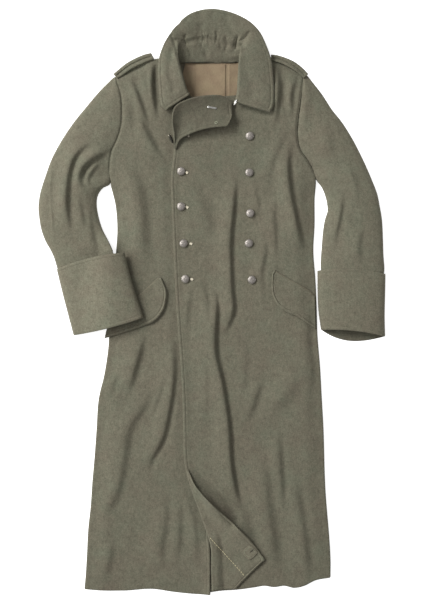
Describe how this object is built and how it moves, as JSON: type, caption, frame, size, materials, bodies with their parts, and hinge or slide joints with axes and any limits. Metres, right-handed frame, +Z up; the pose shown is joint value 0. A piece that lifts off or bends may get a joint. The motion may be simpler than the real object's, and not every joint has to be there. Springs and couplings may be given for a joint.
{
  "type": "military greatcoat",
  "caption": "Long double-breasted wool greatcoat laid out flat, with a wide turned collar, deep turn-back cuffs, slanted pocket flaps and metal buttons.",
  "frame": {"origin": "middle of the coat's outline, to within 4 mm, on the surface that it lies on", "axes": "+Z up from the surface, +Y from the hem to the collar, +X to the wearer's left, which is the viewer's right"},
  "size_m": [0.83, 1.3962, 0.0457],
  "materials": {
    "wool": "field-grey melton wool, felted",
    "lining": "tan cotton twill",
    "metal": "pebbled dull silver-grey metal"
  },
  "bodies": {
    "root": {"back": "wool", "front_left": "wool", "front_right": "wool", "top_sleeve_left": "wool", "top_sleeve_right": "wool", "under_sleeve_left": "wool", "under_sleeve_right": "wool", "cuff_left": "wool", "cuff_right": "wool", "cuff_under_left": "wool", "cuff_under_right": "wool", "collar": "wool", "lapel_corner": "wool", "hem_corner": "wool", "corner_tab": "wool", "pocket_flap_left": "wool", "pocket_flap_right": "wool", "shoulder_strap_left": "wool", "shoulder_strap_right": "wool", "neck_lining": "lining", "neck_patch": "lining", "collar_hook": "metal", "collar_eye_bar": "metal", "button_left_1": "metal", "button_left_2": "metal", "button_left_3": "metal", "button_left_4": "metal", "button_left_5": "metal", "button_right_1": "metal", "button_right_2": "metal", "button_right_3": "metal", "button_right_4": "metal"}
  },
  "joints": []
}
